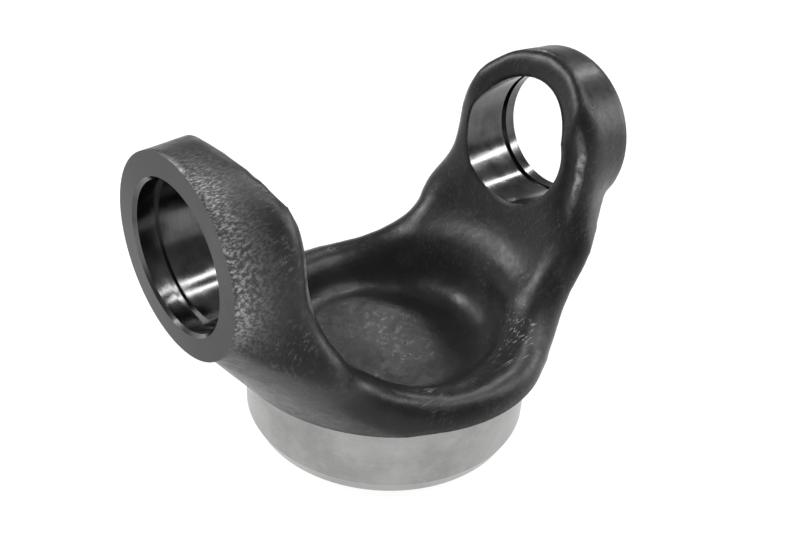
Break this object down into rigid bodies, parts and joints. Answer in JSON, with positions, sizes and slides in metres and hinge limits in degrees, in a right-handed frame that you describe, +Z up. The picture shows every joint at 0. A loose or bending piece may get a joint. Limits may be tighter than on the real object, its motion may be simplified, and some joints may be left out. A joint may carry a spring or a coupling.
{
  "type": "driveshaft weld yoke",
  "caption": "Forged steel yoke with two bored ears over a dished round hub and a turned seat below for welding into a driveshaft tube.",
  "frame": {"origin": "centre of the bottom face of the turned tube seat", "axes": "+Z up along the shaft's axis, from the tube seat to the ears; X along the common axis of the two bores; Y across the open sides of the gap between the ears"},
  "size_m": [0.0984, 0.0692, 0.0732],
  "materials": {
    "forging": "semi-gloss black forged skin"
  },
  "bodies": {
    "root": {"yoke": "forging"}
  },
  "joints": []
}
